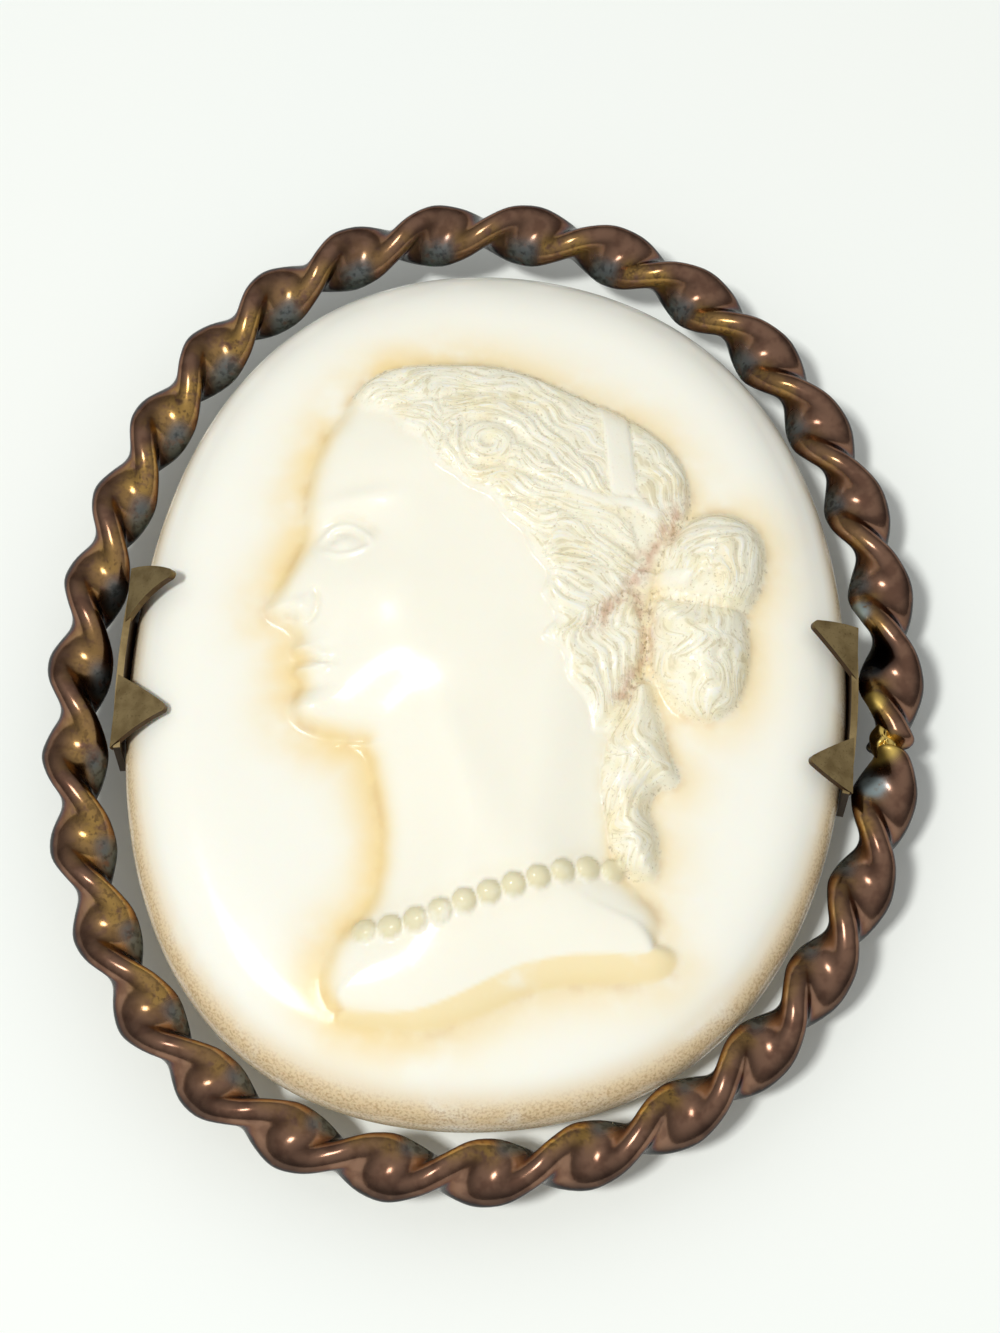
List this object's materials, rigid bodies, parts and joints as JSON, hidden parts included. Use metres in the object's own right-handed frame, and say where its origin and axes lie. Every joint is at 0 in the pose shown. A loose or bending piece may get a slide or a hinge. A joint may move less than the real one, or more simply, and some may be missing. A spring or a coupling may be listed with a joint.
{
  "type": "cameo brooch",
  "caption": "Oval brooch with a carved relief bust, held by folded claws in a frame of twisted wire, with a pin and a catch behind.",
  "frame": {"origin": "middle of the brooch's outline, on the plane that the feet of the catch and the hinge stand on", "axes": "+X across the brooch, towards the back of the bust's head; +Y up the brooch, towards the top of its head; +Z out of the carved face, away from the surface that the brooch lies on"},
  "size_m": [0.0358, 0.044, 0.008],
  "materials": {
    "carved_shell": "smooth satin, polished on the field",
    "tarnished_wire": "dark brown tarnish, worn bright in places",
    "claw_sheet": "satin, olive brown tarnish",
    "pin_wire": "drawn wire, light tarnish"
  },
  "bodies": {
    "root": {"cameo": "carved_shell", "twisted_frame": "tarnished_wire", "left_bracket": "claw_sheet", "right_bracket": "claw_sheet", "pin_stem": "pin_wire"}
  },
  "joints": []
}
